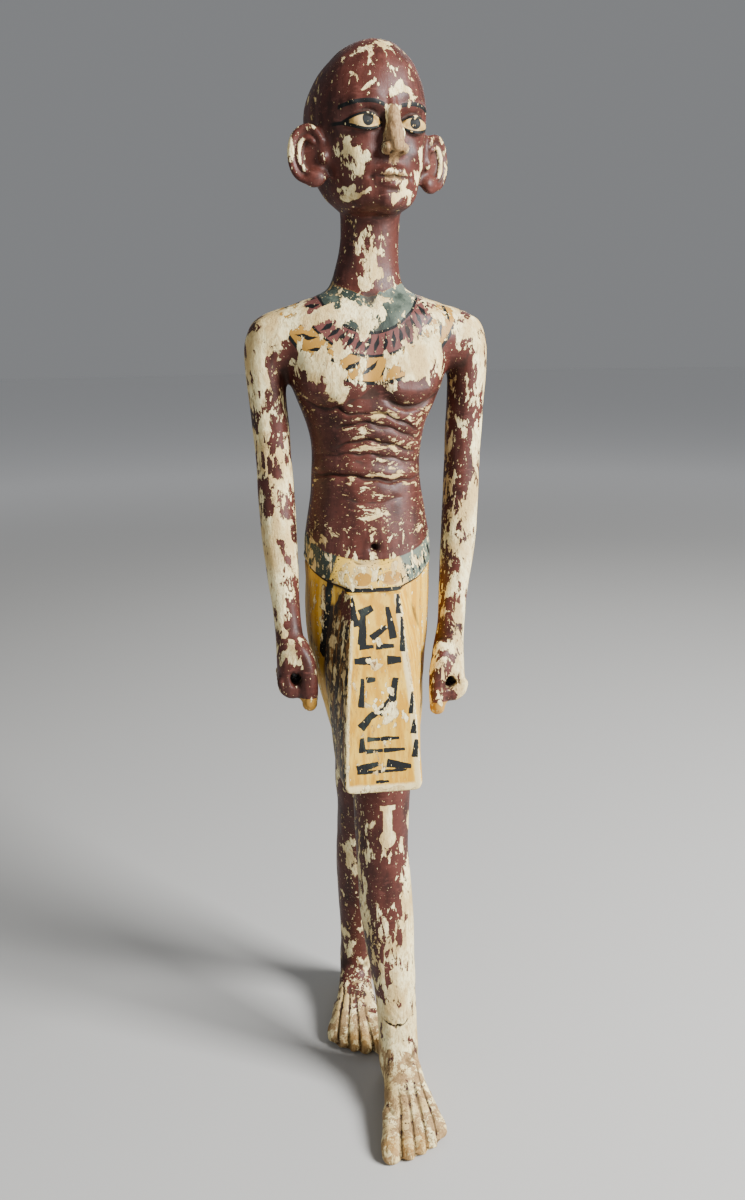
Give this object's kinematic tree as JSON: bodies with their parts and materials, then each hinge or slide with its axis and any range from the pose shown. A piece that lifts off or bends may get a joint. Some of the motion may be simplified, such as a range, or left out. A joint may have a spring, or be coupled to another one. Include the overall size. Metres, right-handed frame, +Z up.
{
  "type": "priest statue",
  "caption": "Carved and painted wooden statue of a striding shaven-headed priest in a long kilt with a stiff front flap, arms hanging, fists drilled to hold staffs.",
  "frame": {"origin": "on the ground under the middle of the figure's bounding box", "axes": "+Z up along the figure, -Y the way the figure strides and faces, +X its own left"},
  "size_m": [0.1973, 0.2614, 0.9003],
  "materials": {
    "painted_wood": "red-brown and ochre paint on white gesso, flaked down to bare tan wood in places"
  },
  "bodies": {
    "root": {"priest_statue": "painted_wood"}
  },
  "joints": []
}
